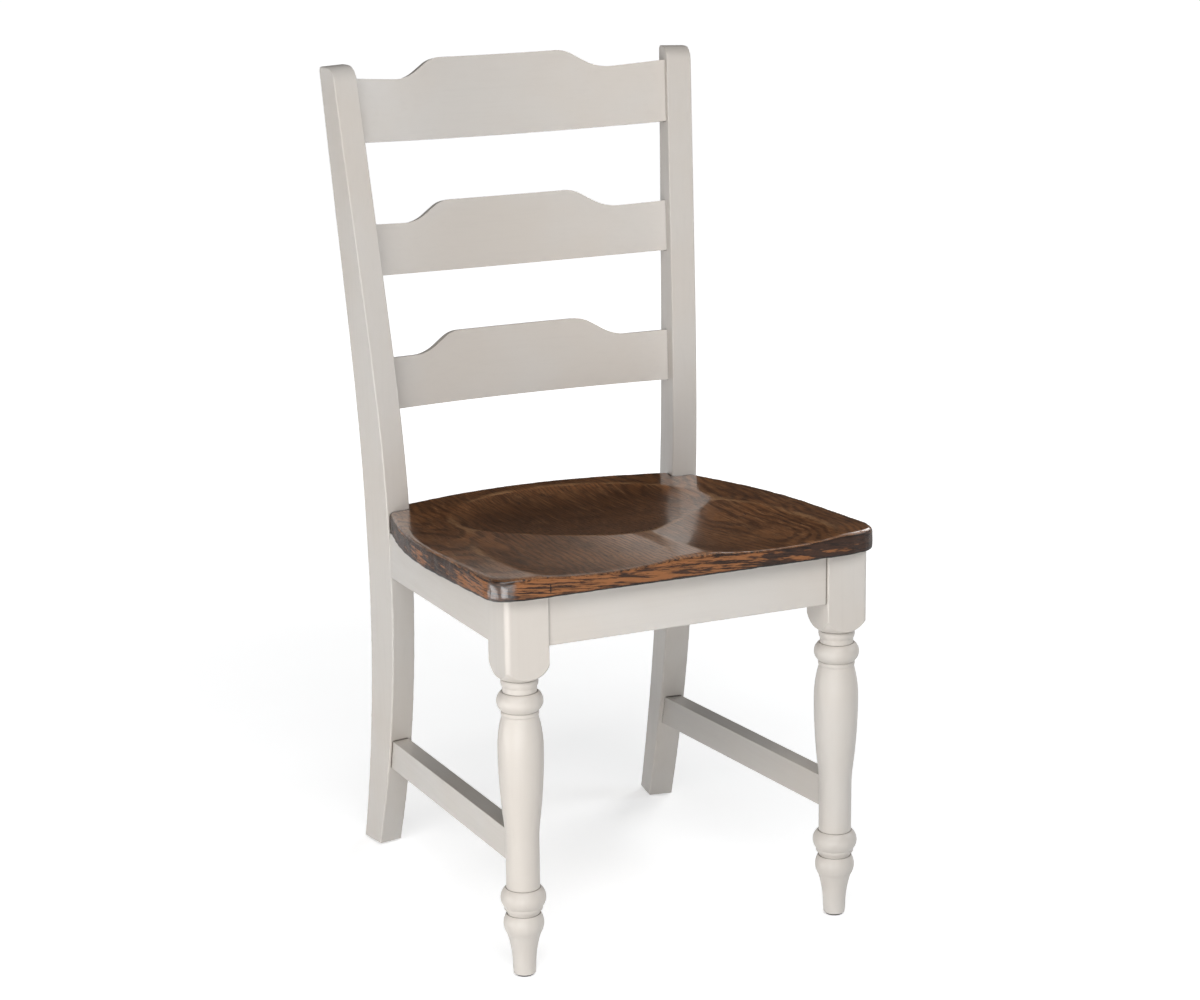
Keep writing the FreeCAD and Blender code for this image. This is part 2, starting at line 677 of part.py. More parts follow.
front_near = front_rail_setback - leg_block / 2
front_end = leg_x - leg_block / 2
front_body, front_bar, front_mortise = cross_rail(
    "front_rail", front_near, front_end, front_end + tenon_length
)
rear_near = post_setback + rear_rail_setback
rear_body, rear_bar, rear_mortise = cross_rail(
    "rear_rail", rear_near, post_gap / 2 + post_width / 2, post_gap / 2 + tenon_length
)
rear_trimmed = cut("rear_rail_trimmed", rear_body, posts[-1], posts[1])
rails = {
    "front": fuse("front_rail_whole", front_body, front_bar),
    "rear": fuse("rear_rail_whole", rear_trimmed, rear_bar),
}
for side, _ in SIDES:
    leg_cuts[side].append(front_mortise)
    post_cuts[side].append(rear_mortise)

side_rail_face = leg_x + leg_block / 2 - side_rail_setback
side_rail_run = post_outer_reach - leg_block / 2
side_rail_inset = side_rail_face - (post_outer_x - side_rail_setback)
side_rail_toe = math.degrees(math.atan2(side_rail_inset.value, side_rail_run.value))


def side_rail_frame(side):
    """In the seat's underside, from the outer face of the rail at the back of the leg block."""
    corner = Vector(side * side_rail_face.value, leg_block.value / 2, 0)
    return seat_frame * Placement(corner, Rotation(Z_AXIS, side * side_rail_toe))


def side_rail(side, hand):
    """A side rail, in line with the outer faces of its leg and post and parallel to the seat."""
    frame = side_rail_frame(side)
    over = post_width / 2
    outside = spread(side, -rail_thickness, term(0))
    body = long_stock(f"side_rail_body_{hand}", *outside, side_rail_height, -over,
                      side_rail_run + over * 2, frame)
    leg_side = block(f"leg_side_{hand}", (-400, -400, 0), (400, front_y + leg_block / 2, 600))
    shoulders = cut(f"side_rail_trimmed_{hand}", body, leg_side, posts[side])
    cheek = (rail_thickness - tenon_thickness) / 2
    cheeks = spread(side, -cheek - tenon_thickness, -cheek)
    lows = (cheeks[0], -tenon_length, tenon_shoulder - side_rail_height)
    highs = (cheeks[1], side_rail_run + tenon_length, -tenon_shoulder)
    bar, mortise = tenon_pair(f"side_rail_{hand}", lows, highs, frame)
    leg_cuts[side].append(mortise)
    post_cuts[side].append(mortise)
    return fuse(f"side_rail_whole_{hand}", shoulders, bar)


for side, hand in SIDES:
    rails[hand] = side_rail(side, hand)


# Side stretchers

def stretcher(side, hand):
    """A side stretcher, coped to the turned leg in front and shouldered on the post behind."""
    top_at_post = stretcher_front_top - post_setback * tangent(stretcher_slope)
    sweep = rise_of_arc(heel_front_radius, heel_front_start - top_at_post)
    lean = tangent(post_splay) * (top_at_post - back_front_start)
    face_x = post_outer_x + lean + sweep * sine(post_toe) - stretcher_post_inset
    run = post_outer_reach + sweep * cosine(post_toe)
    inset = leg_x - (face_x - stretcher_thickness / 2)
    toe_in = math.degrees(math.atan2(inset.value, run.value))
    turn = Rotation(Z_AXIS, side * toe_in) * Rotation(X_AXIS, -stretcher_slope.value)
    frame = Placement(Vector(side * leg_x.value, front_y.value, stretcher_front_top.value), turn)
    half = stretcher_thickness / 2
    body = long_stock(f"stretcher_body_{hand}", -half, half, stretcher_height, term(0),
                      run + post_width / 2, frame)
    shoulders = cut(f"stretcher_trimmed_{hand}", body, legs[side], posts[side])
    cheek = stretcher_tenon_thickness / 2
    shoulder = (stretcher_height - stretcher_tenon_height) / 2
    lows = (-cheek, stretcher_leg_stop, shoulder - stretcher_height)
    highs = (cheek, run + tenon_length, -shoulder)
    bar, mortise = tenon_pair(f"stretcher_{hand}", lows, highs, frame)
    leg_cuts[side].append(mortise)
    post_cuts[side].append(mortise)
    return fuse(f"side_stretcher_{hand}", shoulders, bar)


for side, hand in SIDES:
    nodes[f"side_stretcher_{hand}"] = stretcher(side, hand)


# Slats

def bent_stock(name, near, thickness, half_span, end_x, low, high, frame):
    """Wood bent to the slats' curve, from low to high, starting near behind a slat's front face."""
    body = doc.addObject("PartDesign::Body", name)
    plan = sketch_on(body, "BendPlan", "XY_Plane")
    inner = slat_bend_radius + near
    outer = inner + thickness
    centre = -root(slat_bend_radius * slat_bend_radius - end_x * end_x)
    inner_end = centre + root(inner * inner - half_span * half_span)
    outer_end = centre + root(outer * outer - half_span * half_span)
    draw(plan, [
        (half_span, inner_end),
        (half_span, outer_end, outer, 1),
        (-half_span, outer_end),
        (-half_span, inner_end, inner, -1),
    ])
    body.Tip = pad(body, plan, high - low)
    body.Placement = frame * Placement(Vector(0, 0, low.value), Rotation())
    return body


def slat_outline(name, slat, half_span, frame):
    """Front view of a slat: straight below, ogees up to the raised middle above."""
    body = doc.addObject("PartDesign::Body", name)
    view = sketch_on(body, "SlatView", "XZ_Plane")
    shoulder = slat["shoulder"]
    flared = shoulder + slat["flare"]
    crest = shoulder + ogee_rise
    fall = 1 - cosine(ogee_angle)
    straight = (ogee_rise - (crest_radius + shoulder_radius) * fall) / tangent(ogee_angle)
    upper_x = crest_half_width + crest_radius * sine(ogee_angle)
    upper_z = crest - crest_radius * fall
    lower_x = upper_x + straight
    lower_z = shoulder + shoulder_radius * fall
    shoulder_x = lower_x + shoulder_radius * sine(ogee_angle)
    draw(view, [
        (-half_span, term(0)),
        (half_span, term(0)),
        (half_span, flared),
        (shoulder_x, shoulder, shoulder_radius, -1),
        (lower_x, lower_z),
        (upper_x, upper_z, crest_radius, 1),
        (crest_half_width, crest),
        (-crest_half_width, crest, crest_radius, 1),
        (-upper_x, upper_z),
        (-lower_x, lower_z, shoulder_radius, -1),
        (-shoulder_x, shoulder),
        (-half_span, flared),
    ])
    body.Tip = pad(body, view, slat_bend_radius, kind="Symmetric")
    body.Placement = frame
    return body


def between_posts(name, base, entry):
    """The base without what lies beyond a plane in each post, entry behind its inner face."""
    tools = []
    for side, hand in SIDES:
        lows, highs = spread(side, entry, entry + post_gap)
        tools.append(block(f"{name}_beyond_{hand}", (lows, -post_gap, 0), (highs, post_gap * 2, 1300),
                           post_frame(side)))
    return cut(name, base, *tools)


def bowed_slat(place, slat):
    """A slat with its tenons, and the tool for its mortises."""
    name = f"slat_{place}"
    back, end_x = slat_end(slat)
    y = post_y + back * cosine(post_toe)
    frame = Placement(Vector(0, y.value, slat["low"].value), Rotation(X_AXIS, -slat["rake"].value))
    reach = end_x + post_width
    height = slat["shoulder"] + ogee_rise
    stock = bent_stock(f"{name}_stock", term(0), slat_thickness, reach, end_x, term(0), height, frame)
    outline = slat_outline(f"{name}_outline", slat, reach, frame)
    shaped = common(f"{name}_shaped", stock, outline)
    body = between_posts(f"{name}_body", shaped, term(0))

    cheek = (slat_thickness - slat_tenon_thickness) / 2
    foot = slat_tenon_shoulder
    head = slat["shoulder"] - slat_tenon_shoulder
    tenon = bent_stock(f"{name}_tenon_stock", cheek, slat_tenon_thickness, reach, end_x, foot, head, frame)
    tenons = between_posts(f"{name}_tenons", tenon, post_tenon_length)
    wide = bent_stock(f"{name}_mortise_stock", cheek - glue_gap, slat_tenon_thickness + glue_gap * 2,
                      reach, end_x, foot - glue_gap, head + glue_gap, frame)
    mortise = between_posts(f"{name}_mortise", wide, post_tenon_length + glue_gap)
    for side, _ in SIDES:
        post_cuts[side].append(mortise)
    return fuse(name, body, tenons)


doc.recompute()
for place, slat in SLATS.items():
    nodes[f"slat_{place}"] = bowed_slat(place, slat)


# Seat

def hollow(name, x, y, half_width, half_length, depth, rise):
    """A cutter that leaves a dished hollow of a given rim and depth in the top of the seat."""
    upright = depth + rise
    share = root(term(1) - (rise / upright) * (rise / upright))
    made = doc.addObject("Part::Ellipsoid", name)
    bind(made, "Radius1", upright)
    bind(made, "Radius2", half_width / share)
    bind(made, "Radius3", half_length / share)
    top = seat_thickness + rise
    made.Placement = seat_frame * Placement(Vector(x.value, y.value, top.value), Rotation())
    return made


def seat_board(name, outline, eased_edge):
    """A board in the seat's frame with rounded top and lower edges."""
    body = doc.addObject("PartDesign::Body", name)
    plan = sketch_on(body, f"{name}_plan", "XY_Plane")
    draw(plan, outline)
    board = pad(body, plan, seat_thickness)
    top = eased(body, board, seat_top_easing,
                lambda edge: edge.BoundBox.ZMin > seat_thickness.value - 0.01 and eased_edge(edge))
    body.Tip = eased(body, top, seat_under_easing,
                     lambda edge: edge.BoundBox.ZMax < 0.01 and eased_edge(edge))
    body.Placement = seat_frame
    return body


def scooped_seat():
    """The solid seat before its screw holes: eased board, tongue between the posts, notches, hollows."""
    half = seat_width / 2
    front = -front_reach
    corner = seat_corner_radius
    side_centre = half - seat_side_radius
    heel_share = seat_heel_reach - seat_heel_radius - seat_side_straight
    heel_share = heel_share / (seat_side_radius - seat_heel_radius)
    heel_level = root(term(1) - heel_share * heel_share)
    heel_x = side_centre + seat_side_radius * heel_level
    heel_y = seat_side_straight + seat_side_radius * heel_share
    back_x = side_centre + (seat_side_radius - seat_heel_radius) * heel_level
    main = seat_board("seat_main", [
        (half - corner, front, corner, 1),
        (half, front + corner),
        (half, seat_side_straight, seat_side_radius, 1),
        (heel_x, heel_y, seat_heel_radius, 1),
        (back_x, seat_heel_reach),
        (-back_x, seat_heel_reach, seat_heel_radius, 1),
        (-heel_x, heel_y, seat_side_radius, 1),
        (-half, seat_side_straight),
        (-half, front + corner, corner, 1),
        (corner - half, front),
    ], lambda edge: True)

    inside_x = post_gap / 2 + post_width / 3
    inside_y = seat_rear_reach - rise_of_arc(seat_rear_radius, inside_x)
    tongue_start = post_setback / 2
    tongue = seat_board("seat_tongue", [
        (-inside_x, tongue_start),
        (inside_x, tongue_start),
        (inside_x, inside_y, seat_rear_radius, 1),
        (-inside_x, inside_y),
    ], lambda edge: edge.BoundBox.YMin > tongue_start.value + 1 and edge.BoundBox.XLength > 1)

    tools = []
    for side, hand in SIDES:
        low, high = spread(side, -seat_notch_gap, post_gap)
        tools.append(block(f"seat_notch_{hand}", (low, -seat_notch_gap, 0), (high, post_gap, 600),
                           post_frame(side)))
    tools.append(hollow("seat_bowl", term(0), bowl_centre, bowl_half_width, bowl_half_length,
                        bowl_depth, bowl_rise))
    for side, hand in SIDES:
        tools.append(hollow(f"thigh_hollow_{hand}", side * thigh_offset, thigh_centre, thigh_half_width,
                            thigh_half_length, thigh_depth, thigh_rise))
    return cut("seat_scooped", fuse("seat_whole", main, tongue), *tools)


# Corner blocks and screws

def screw(name, length, frame):
    """A domed screw along a frame's Z, from the top of its head."""
    body = doc.addObject("PartDesign::Body", name)
    half_view = sketch_on(body, "ScrewProfile", "XZ_Plane")
    square = screw_head_radius * screw_head_radius + screw_head_height * screw_head_height
    dome = square / (screw_head_height * 2)
    draw(half_view, [
        (term(0), length),
        (screw_radius, length - screw_point),
        (screw_radius, screw_head_height),
        (screw_head_radius, screw_head_height, dome, -1),
        (term(0), term(0)),
    ])
    body.Tip = turned(body, half_view, "Revolution")
    body.Placement = frame
    return body


def screw_holes(name, length, frame):
    """The shank hole and the wider bore for the head."""
    shank = rod(f"{name}_hole", screw_radius + screw_gap, length + screw_gap, (0, 0, 0), (0, 0, 1), frame)
    bore = rod(f"{name}_bore", screw_head_radius + screw_head_gap, bore_depth + screw_head_height,
               (0, 0, -bore_depth.value), (0, 0, 1), frame)
    return shank, bore


def towards(start, direction):
    """A frame in the seat's underside frame whose Z points in a direction."""
    return seat_frame * Placement(start, Rotation(Z_AXIS, direction))


ENDS = ((1, "front", leg_x - leg_block / 2, leg_block / 2, front_near + rail_thickness),
        (-1, "rear", post_gap / 2, post_setback, rear_near))
rail_screws = []
seat_screws = []
rail_holes = {key: [] for key in rails}
seat_holes = []
corner_blocks = {}


def corner_block(side, hand, inward, end, corner_x, corner_reach, rail_face):
    """A block set across a corner of the rails, with a screw into each rail and one up into the seat."""
    name = f"corner_block_{end}_{hand}"
    turn = Rotation(Z_AXIS, side * inward * 45.0)
    corner = Vector(side * corner_x.value, corner_reach.value, 0)
    frame = seat_frame * Placement(corner, turn)
    near, far = corner_clear, corner_clear + corner_thickness
    across = (near, far) if inward > 0 else (-far, -near)
    board = block(f"{name}_board", (-corner_length, across[0], -corner_height),
                  (corner_length, across[1], 0), frame)
    beyond = (rail_face, rail_face + post_gap) if inward < 0 else (rail_face - post_gap, rail_face)
    rail_side = block(f"{name}_rail_side", (-post_gap, beyond[0], -post_gap),
                      (post_gap, beyond[1], post_gap), seat_frame)
    outside = spread(side, -rail_thickness, post_gap)
    flank = block(f"{name}_flank", (outside[0], -post_gap, -post_gap),
                  (outside[1], post_gap * 2, post_gap), side_rail_frame(side))

    slant = (corner_clear + corner_thickness / 2) * math.sqrt(2.0)
    flank_x = side_rail_face.value - rail_thickness.value
    flank_x -= (corner_reach.value - leg_block.value / 2) * math.tan(math.radians(side_rail_toe))
    cross_x = corner_x.value - inward * (corner_reach.value - rail_face.value) - slant.value
    flank_y = corner_reach.value + inward * (flank_x - corner_x.value + slant.value)
    middle = -corner_height.value / 2
    shelf = screw_shelf.value + screw_head_height.value
    outwards = side_rail_frame(side).Rotation.multVec(Vector(side, 0, 0))
    outwards = seat_frame.Rotation.inverted().multVec(outwards)
    to_cross = Vector(0, -inward, 0)
    on_cross = Vector(side * cross_x, rail_face.value, middle)
    on_flank = Vector(side * flank_x, flank_y, middle)
    under = Vector(side * (cross_x + flank_x) / 2, (rail_face.value + flank_y) / 2, 0)
    under.z = -seat_screw_shelf.value - screw_head_height.value
    rail_length = screw_head_height + screw_shelf + screw_grip
    seat_length = screw_head_height + seat_screw_shelf + seat_screw_grip
    places = (
        ("cross", on_cross - to_cross * shelf, to_cross, rail_length, rail_screws, rail_holes[end]),
        ("flank", on_flank - outwards * shelf, outwards, rail_length, rail_screws, rail_holes[hand]),
        ("seat", under, Z_AXIS, seat_length, seat_screws, seat_holes),
    )
    tools = [rail_side, flank]
    for key, start, direction, length, screws, holes in places:
        screw_frame = towards(start, direction)
        screws.append(screw(f"{name}_{key}_screw", length, screw_frame))
        shank, bore = screw_holes(f"{name}_{key}", length, screw_frame)
        tools += [shank, bore]
        holes.append(shank)
    return cut(name, board, *tools)


for inward, end, corner_x, corner_reach, rail_face in ENDS:
    for side, hand in SIDES:
        nodes[f"corner_block_{end}_{hand}"] = corner_block(
            side, hand, inward, end, corner_x, corner_reach, rail_face
        )


# Glides

def glide(name, frame):
    body = doc.addObject("PartDesign::Body", name)
    half_view = sketch_on(body, "GlideProfile", "XZ_Plane")
    draw(half_view, [
        (term(0), term(0)),
        (glide_radius - glide_edge, term(0), glide_edge, 1),
        (glide_radius, glide_edge),
        (glide_radius, glide_height),
        (nail_radius, glide_height),
        (nail_radius, glide_height + nail_length),
        (term(0), glide_height + nail_length),
    ])
    body.Tip = turned(body, half_view, "Revolution")
    body.Placement = frame
    return body


def nail_hole(name, frame):
    return rod(name, nail_radius + screw_gap, glide_height + nail_length + screw_gap,
               (0, 0, 0), (0, 0, 1), frame)


heel_front = rise_of_arc(heel_front_radius, heel_front_start - glide_height)
for side, hand in SIDES:
    middle = Vector(side * post_width.value / 2, (heel_front.value + heel_back.value) / 2, 0)
    heel = post_frame(side).multVec(middle)
    spots = (("front", legs[side].Placement, leg_cuts[side]),
             ("rear", Placement(Vector(heel.x, heel.y, 0), Rotation()), post_cuts[side]))
    for end, spot, cuts in spots:
        nodes[f"glide_{end}_{hand}"] = glide(f"glide_{end}_{hand}", spot)
        cuts.append(nail_hole(f"nail_hole_{end}_{hand}", spot))


# The finished pieces

nodes["seat"] = cut("seat", scooped_seat(), *seat_holes)
for key, holes in rail_holes.items():
    nodes[f"seat_rail_{key}"] = cut(f"seat_rail_{key}", rails[key], *holes)
for side, hand in SIDES:
    nodes[f"front_leg_{hand}"] = cut(f"front_leg_{hand}", legs[side], *leg_cuts[side])
    nodes[f"rear_post_{hand}"] = cut(f"rear_post_{hand}", posts[side], *post_cuts[side])
nodes["corner_block_screws"] = group("corner_block_screws", rail_screws)
nodes["seat_screws"] = group("seat_screws", seat_screws)
doc.recompute()

for made in doc.Objects:
    wrong = [state for state in made.State if state in ("Invalid", "Error")]
    if wrong:
        raise RuntimeError(f"{made.Label} did not build: {wrong}")

os.makedirs("parts", exist_ok=True)
for name, made in sorted(nodes.items()):
    made.Label = name
    shape = made.Shape
    if shape.isNull() or not shape.isValid():
        raise RuntimeError(f"{name} has no valid shape")
    if len(shape.Solids) != (len(made.Links) if name.endswith("screws") else 1):
        raise RuntimeError(f"{name} has {len(shape.Solids)} solids")
    shape.exportStep(f"parts/{name}.step")
    box = shape.BoundBox
    print(f"{name}: {shape.Volume:.0f} mm3, z {box.ZMin:.2f} to {box.ZMax:.2f}")
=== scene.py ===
import math

import bpy
import numpy
from mathutils import Matrix, Vector, kdtree, noise


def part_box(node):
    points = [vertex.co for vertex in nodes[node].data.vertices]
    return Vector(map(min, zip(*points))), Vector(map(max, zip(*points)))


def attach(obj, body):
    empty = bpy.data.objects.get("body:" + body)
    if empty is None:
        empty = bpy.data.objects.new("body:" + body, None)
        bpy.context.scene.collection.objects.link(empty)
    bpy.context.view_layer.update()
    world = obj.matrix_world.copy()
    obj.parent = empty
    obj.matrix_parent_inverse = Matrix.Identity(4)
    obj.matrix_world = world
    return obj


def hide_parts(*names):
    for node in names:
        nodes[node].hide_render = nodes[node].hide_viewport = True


# A ladderback side chair with a greige painted frame and a dark, worn, scooped seat.
# Metres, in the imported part's frame: the chair faces -Y, +Z is up and the floor is at 0.

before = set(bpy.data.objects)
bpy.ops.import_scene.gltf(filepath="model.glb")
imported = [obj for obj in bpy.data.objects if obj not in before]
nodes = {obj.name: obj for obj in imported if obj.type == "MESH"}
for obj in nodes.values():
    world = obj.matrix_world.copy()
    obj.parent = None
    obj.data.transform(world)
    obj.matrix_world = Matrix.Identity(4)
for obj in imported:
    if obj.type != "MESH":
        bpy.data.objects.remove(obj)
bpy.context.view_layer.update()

MM = 0.001
X, Y, Z = 0, 1, 2


def middle(name):
    """The middle of a piece's box."""
    low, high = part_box(name)
    return (low + high) / 2


def placed(name, data):
    """A new object of the scene."""
    made = bpy.data.objects.new(name, data)
    bpy.context.scene.collection.objects.link(made)
    return made


# The camera that took the photograph, from the middle between the front feet
IMAGE_WIDTH = 1200
FOCAL_LENGTH_PIXELS = 2943.0
SENSOR_WIDTH = 36.0
CAMERA_FROM_FEET = Vector((-1.37087, -2.76131, 1.31683))
CAMERA_YAW = math.radians(24.77)
CAMERA_PITCH = math.radians(14.58)
CAMERA_ROLL = math.radians(-0.66)

FEET_Y = middle("glide_front_left").y


def place_camera():
    """The photograph's view: the camera stands at the front left, above the seat, and looks down."""
    forward = Vector(
        (
            math.sin(CAMERA_YAW) * math.cos(CAMERA_PITCH),
            math.cos(CAMERA_YAW) * math.cos(CAMERA_PITCH),
            -math.sin(CAMERA_PITCH),
        )
    )
    level = Vector((math.cos(CAMERA_YAW), -math.sin(CAMERA_YAW), 0.0))
    upward = level.cross(forward)
    right = math.cos(CAMERA_ROLL) * level + math.sin(CAMERA_ROLL) * upward
    up = math.cos(CAMERA_ROLL) * upward - math.sin(CAMERA_ROLL) * level
    data = bpy.data.cameras.new("camera")
    data.sensor_width = SENSOR_WIDTH
    data.lens = FOCAL_LENGTH_PIXELS * SENSOR_WIDTH / IMAGE_WIDTH
    camera = placed("camera", data)
    turn = Matrix((right, up, -forward)).transposed().to_4x4()
    place = CAMERA_FROM_FEET + Vector((0.0, FEET_Y, 0.0))
    camera.matrix_world = Matrix.Translation(place) @ turn
    bpy.context.scene.camera = camera


def linear(red, green, blue):
    """The linear colour of an 8-bit screen colour."""
    parts = []
    for value in (red, green, blue):
        value /= 255.0
        parts.append(value / 12.92 if value <= 0.04045 else ((value + 0.055) / 1.055) ** 2.4)
    return (*parts, 1.0)


class Shader:
    """A material and its node tree, built with short calls."""

    def __init__(self, name):
        self.material = bpy.data.materials.new(name)
        self.material.use_nodes = True
        self.tree = self.material.node_tree
        self.tree.nodes.clear()
        self.place = self.node("ShaderNodeTexCoord").outputs["Object"]

    def plug(self, socket, value):
        if isinstance(value, bpy.types.NodeSocket):
            self.tree.links.new(value, socket)
        else:
            socket.default_value = value

    def node(self, kind, sockets=None, **settings):
        made = self.tree.nodes.new(kind)
        for key, value in settings.items():
            setattr(made, key, value)
        for key, value in (sockets or {}).items():
            self.plug(made.inputs[key], value)
        return made

    def stretched(self, where, scale, shift=(0.0, 0.0, 0.0)):
        sockets = {"Vector": where, "Scale": scale, "Location": shift}
        return self.node("ShaderNodeMapping", sockets).outputs[0]

    def noise(self, where, scale, detail=3.0, roughness=0.5, distortion=0.0):
        sockets = {
            "Vector": where,
            "Scale": scale,
            "Detail": detail,
            "Roughness": roughness,
            "Distortion": distortion,
        }
        return self.node("ShaderNodeTexNoise", sockets).outputs[0]

    def maths(self, operation, first, second=0.0):
        sockets = {0: first, 1: second}
        return self.node("ShaderNodeMath", sockets, operation=operation).outputs[0]

    def folded(self, operation, values):
        """One value out of several, by an operation that takes two at a time."""
        result = values[0]
        for value in values[1:]:
            result = self.maths(operation, result, value)
        return result

    def product(self, *values):
        return self.folded("MULTIPLY", values)

    def greatest(self, *values):
        return self.folded("MAXIMUM", values)

    def vector_maths(self, operation, first, second=(0.0, 0.0, 0.0)):
        sockets = {0: first, 1: second}
        return self.node("ShaderNodeVectorMath", sockets, operation=operation).outputs

    def distance(self, where, centre, scale):
        """How far a place lies from the centre, once each axis is scaled."""
        offset = self.vector_maths("SUBTRACT", where, centre)[0]
        offset = self.vector_maths("MULTIPLY", offset, scale)[0]
        return self.vector_maths("LENGTH", offset)["Value"]

    def ramp(self, value, low, high, start=0.0, end=1.0):
        """A smooth step from start at low to end at high."""
        sockets = {"Value": value, "From Min": low, "From Max": high, "To Min": start, "To Max": end}
        return self.node("ShaderNodeMapRange", sockets, interpolation_type="SMOOTHSTEP").outputs[0]

    def mix(self, amount, first, second):
        sockets = {0: amount, 6: first, 7: second}
        made = self.node("ShaderNodeMix", sockets, data_type="RGBA", blend_type="MIX")
        return made.outputs[2]

    def bump(self, height, depth, under=None):
        sockets = {"Height": height, "Distance": depth, "Strength": 1.0}
        if under is not None:
            sockets["Normal"] = under
        return self.node("ShaderNodeBump", sockets).outputs[0]

    def attribute(self, name):
        return self.node("ShaderNodeAttribute", attribute_name=name).outputs["Fac"]

    def crevice_shade(self, distance, open_above, shut_below):
        """1 in narrow joints and hollows, where shade falls, 0 on open surfaces: a mask for painted
        shade.
        """
        sockets = {"Distance": distance}
        occlusion = self.node("ShaderNodeAmbientOcclusion", sockets, samples=8).outputs["AO"]
        return self.ramp(occlusion, shut_below, open_above, 1.0, 0.0)

    def surface(self, **inputs):
        sockets = {key.replace("_", " "): value for key, value in inputs.items()}
        made = self.node("ShaderNodeBsdfPrincipled", sockets)
        self.finish(made.outputs[0])
        return self.material

    def finish(self, shader):
        self.node("ShaderNodeOutputMaterial", {"Surface": shader})


PAINT = linear(204, 199, 193)
PAINT_WARM = linear(203, 196, 188)
# Glaze in the grain, and painted shade in the joints
PAINT_GLAZE_AND_SHADE = linear(96, 86, 77)
# The dark line of the cracked joints, with the painted shadow of the leg block
SEAM_AND_SHADOW = linear(52, 48, 46)
PAINT_GRAIN_ACROSS = 230.0
PAINT_GRAIN_ALONG = 9.0
GLAZE_AND_SHADE_REACH = 3.0 * MM


def painted_wood(name, along, shoulder=None):
    """Satin greige lacquer over maple whose grain runs along one axis, with glaze and painted shade in
    the joints.

    A piece with shoulders at -x and +x shows the dark line where its paint has cracked at each joint,
    painted darker at the left joint as the block's shadow.
    """
    s = Shader(name)
    stretch = [PAINT_GRAIN_ACROSS] * 3
    stretch[along] = PAINT_GRAIN_ALONG
    grain = s.noise(s.stretched(s.place, stretch), 1.0, 4.0, 0.6)
    cloud = s.noise(s.place, 7.0, 3.0)
    spray = s.noise(s.place, 850.0, 2.0)
    colour = s.mix(s.ramp(cloud, 0.35, 0.65), PAINT, PAINT_WARM)
    colour = s.mix(s.ramp(grain, 0.45, 0.8, 0.0, 0.03), colour, PAINT_GLAZE_AND_SHADE)
    # Glaze and painted shade in the narrow joints and hollows, from ambient occlusion
    colour = s.mix(s.crevice_shade(GLAZE_AND_SHADE_REACH, 0.80, 0.40), colour, PAINT_GLAZE_AND_SHADE)
    # The dark line of the cracked paint at each joint, with a painted shadow of the block making it
    # stronger at the left
    if shoulder is not None:
        x = s.node("ShaderNodeSeparateXYZ", {0: s.place}).outputs[X]
        left = s.ramp(x, 1.5 * MM - shoulder, 0.5 * MM - shoulder, 0.0, 0.9)
        right = s.ramp(x, shoulder - 1.3 * MM, shoulder - 0.5 * MM, 0.0, 0.5)
        colour = s.mix(s.greatest(left, right), colour, SEAM_AND_SHADOW)
    normal = s.bump(spray, 0.04 * MM)
    normal = s.bump(grain, 0.03 * MM, normal)
    return s.surface(
        Base_Color=colour,
        Roughness=s.ramp(grain, 0.2, 0.8, 0.30, 0.42),
        Normal=normal,
        Specular_IOR_Level=0.5,
    )


STAIN = linear(152, 102, 63)
# The deep stain of the blotches, streaks and rings, also the painted shade in the bowl
STAIN_DEEP_AND_SHADE = linear(66, 39, 22)
STAIN_PALE = linear(196, 148, 104)
PORE = linear(30, 20, 14)
RIM_DARK = linear(38, 24, 17)
RIM_BROWN = linear(88, 57, 39)
RIM_STREAK = linear(22, 14, 10)
RUBBED = linear(142, 92, 55)
WORN_PALE = linear(158, 122, 98)
# Black of the scorch, the polished corner and the dents, and the painted shade on the faces that turn
# down
BLACKENED_AND_SHADE = linear(24, 17, 13)

# The growth rings, with one pith under each half of the seat
BOARD_WIDTH = 236.0 * MM
RING_PITCH = 4.2 * MM
PITH_HEIGHT = 0.335
RING_WARP = 30.0 * MM
RING_SWIRL = 16.0 * MM

# How much the streaks of the rim rise towards the left
STREAK_SLANT = 0.10

# The front left corner, blackened and polished by wear
CORNER = (-224.0 * MM, -259.0 * MM, 0.0)
CORNER_FULL = 11.0 * MM
CORNER_END = 19.0 * MM

# Small dents and worm holes in the top of the seat: x, y, and the half lengths along x and y, in mm
MARKS = [
    (-163.8, -204.3, 1.3, 1.6),
    (133.6, 20.3, 1.6, 2.4),
    (75.6, -25.6, 1.0, 1.8),
    (76.3, 14.3, 0.9, 1.6),
    (-195.1, -42.4, 1.1, 1.6),
    (-219.0, 52.0, 1.8, 2.0),
    (58.5, -127.0, 0.7, 7.5),
    (61.5, -138.0, 0.6, 5.0),
    (-226.0, -96.0, 1.6, 2.6),
    (150.0, -96.0, 0.9, 3.0),
    (-40.0, 118.0, 1.2, 2.2),
]

# The check in the front edge, left of the left joint: x, height and the half lengths, in mm
CRACK = (-172.2, 447.0, 0.9, 5.5)


def growth_rings(s, axes):
    """Rings round a pith below the seat: the hollows cut through them and show ovals."""
    warp = s.noise(s.stretched(s.place, (8.0, 2.0, 8.0)), 1.0, 2.0)
    swirl = s.noise(s.stretched(s.place, (14.0, 9.0, 14.0), (3.1, 0.7, 0.0)), 1.0, 2.0)
    board = s.maths("FLOOR", s.maths("DIVIDE", axes[X], BOARD_WIDTH))
    luck = s.node("ShaderNodeTexWhiteNoise", {"W": board}, noise_dimensions="1D").outputs["Value"]
    pith = s.product(s.maths("ADD", board, luck), BOARD_WIDTH)
    across = s.maths("SUBTRACT", axes[X], pith)
    height = s.maths("SUBTRACT", axes[Z], PITH_HEIGHT)
    square = s.maths("ADD", s.maths("POWER", across, 2.0), s.maths("POWER", height, 2.0))
    radius = s.maths("SQRT", square)
    radius = s.maths("ADD", radius, s.product(warp, RING_WARP))
    radius = s.maths("ADD", radius, s.product(swirl, RING_SWIRL))
    waves = s.maths("SINE", s.product(radius, 2.0 * math.pi / RING_PITCH))
    return s.ramp(waves, -0.5, 1.0)


